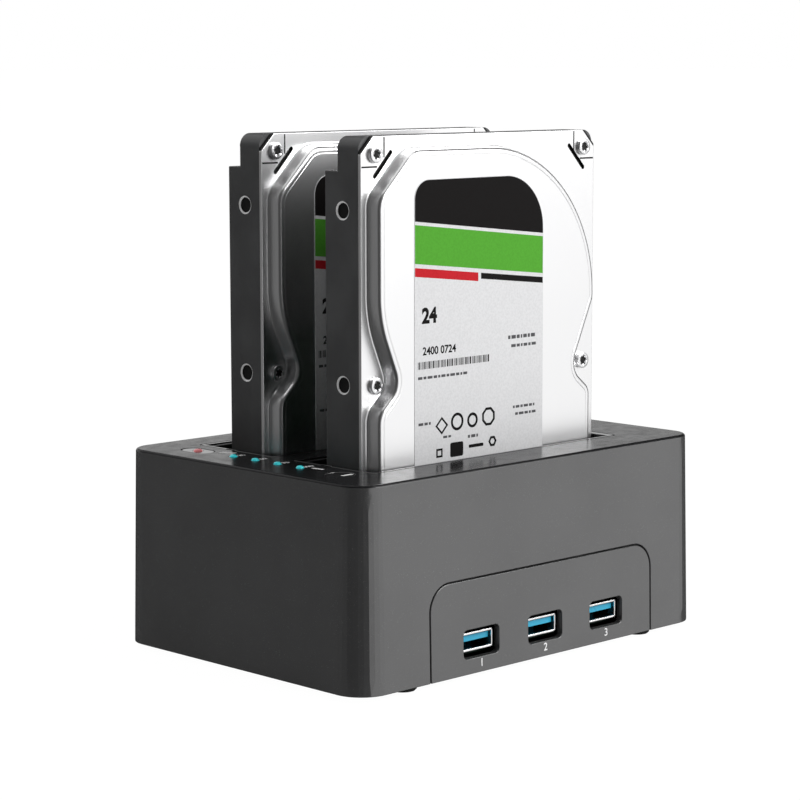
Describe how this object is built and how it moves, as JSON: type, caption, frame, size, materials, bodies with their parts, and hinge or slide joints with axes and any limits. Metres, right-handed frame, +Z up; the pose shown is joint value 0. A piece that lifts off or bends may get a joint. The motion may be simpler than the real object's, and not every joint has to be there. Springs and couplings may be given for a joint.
{
  "type": "drive duplicator",
  "caption": "Desktop dock that copies one hard drive to another, with upright drives in slots, spring flaps, keys, progress lamps and a row of data ports.",
  "frame": {"origin": "on the table under the centre of the dock's body, at the undersides of the feet", "axes": "+X to the right seen from the port side, +Y from the port side to the back, +Z up"},
  "size_m": [0.1512, 0.1084, 0.1599],
  "materials": {
    "dock_shell": "gloss dark moulded plastic",
    "dock_deck": "mirror-gloss black plastic",
    "port_panel": "gloss dark moulded plastic",
    "cover_plastic": "satin black moulded plastic",
    "foot_rubber": "black rubber",
    "screw_steel": "plated steel",
    "board_green": "green lacquered board",
    "chip_black": "moulded black",
    "capacitor_metal": "aluminium can",
    "port_steel": "bright plated sheet",
    "tongue_blue": "blue moulded plastic",
    "contact_gold": "gold plated",
    "key_black": "gloss black plastic",
    "red_lens": "clear red lens",
    "teal_lens": "clear teal lens",
    "lamp_white": "white lamp",
    "flap_plastic": "satin black plastic",
    "drive_casting": "dark coated casting",
    "drive_cover": "satin stamped cover",
    "drive_screw": "bright screw heads",
    "label_film": "printed film"
  },
  "bodies": {
    "dock": {"board_screws": "screw_steel", "bottom_cover": "cover_plastic", "bridge_chips": "chip_black", "capacitors": "capacitor_metal", "cover_screws": "screw_steel", "front_bay_frame": "dock_deck", "front_flap_pin": "screw_steel", "front_flap_spring": "screw_steel", "front_panel": "port_panel", "front_socket": "chip_black", "front_socket_contacts": "contact_gold", "host_port_shell": "port_steel", "host_port_tongue": "tongue_blue", "housing": "dock_shell", "indicator_board": "board_green", "indicator_lamps": "lamp_white", "key_switches": "chip_black", "main_board": "board_green", "power_jack": "chip_black", "power_jack_pin": "port_steel", "progress_light_pipes": "teal_lens", "rear_bay_frame": "dock_deck", "rear_flap_pin": "screw_steel", "rear_flap_spring": "screw_steel", "rear_socket": "chip_black", "rear_socket_contacts": "contact_gold", "rubber_feet": "foot_rubber", "top_deck": "dock_deck", "usb_contacts": "contact_gold", "usb_shells": "port_steel", "usb_tongues": "tongue_blue"},
    "power_key": {"power_button": "key_black", "power_light_pipe": "red_lens"},
    "clone_key": {"clone_button": "key_black"},
    "front_drive": {"front_drive_base": "drive_casting", "front_drive_board": "board_green", "front_drive_label": "label_film", "front_drive_lid": "drive_cover", "front_drive_plug": "chip_black", "front_drive_screws": "drive_screw"},
    "front_flap": {"front_flap": "flap_plastic"},
    "rear_drive": {"rear_drive_base": "drive_casting", "rear_drive_board": "board_green", "rear_drive_label": "label_film", "rear_drive_lid": "drive_cover", "rear_drive_plug": "chip_black", "rear_drive_screws": "drive_screw"},
    "rear_flap": {"rear_flap": "flap_plastic"}
  },
  "joints": [
    {"name": "front_drive_lift", "type": "slide", "parent": "dock", "child": "front_drive", "axis": [0, 0, 1], "range_m": [0, 0.15]},
    {"name": "front_flap_hinge", "type": "hinge", "parent": "dock", "child": "front_flap", "pos_m": [-0.0017, -0.0055, 0.0611], "axis": [-1, 0, 0], "range_deg": [0, 90]},
    {"name": "rear_drive_lift", "type": "slide", "parent": "dock", "child": "rear_drive", "axis": [0, 0, 1], "range_m": [0, 0.15]},
    {"name": "rear_flap_hinge", "type": "hinge", "parent": "dock", "child": "rear_flap", "pos_m": [-0.0017, 0.0377, 0.0611], "axis": [-1, 0, 0], "range_deg": [0, 90]},
    {"name": "power_button_press", "type": "slide", "parent": "dock", "child": "power_key", "axis": [0, 0, -1], "range_m": [0, 0.0006], "stiffness_N_per_m": 500, "springref_m": -0.0006},
    {"name": "clone_button_press", "type": "slide", "parent": "dock", "child": "clone_key", "axis": [0, 0, -1], "range_m": [0, 0.0006], "stiffness_N_per_m": 500, "springref_m": -0.0006}
  ],
  "couplings": [
    {"joint": "front_flap_hinge", "follows": "front_drive_lift", "rad_per_m": 10.472},
    {"joint": "rear_flap_hinge", "follows": "rear_drive_lift", "rad_per_m": 10.472}
  ]
}
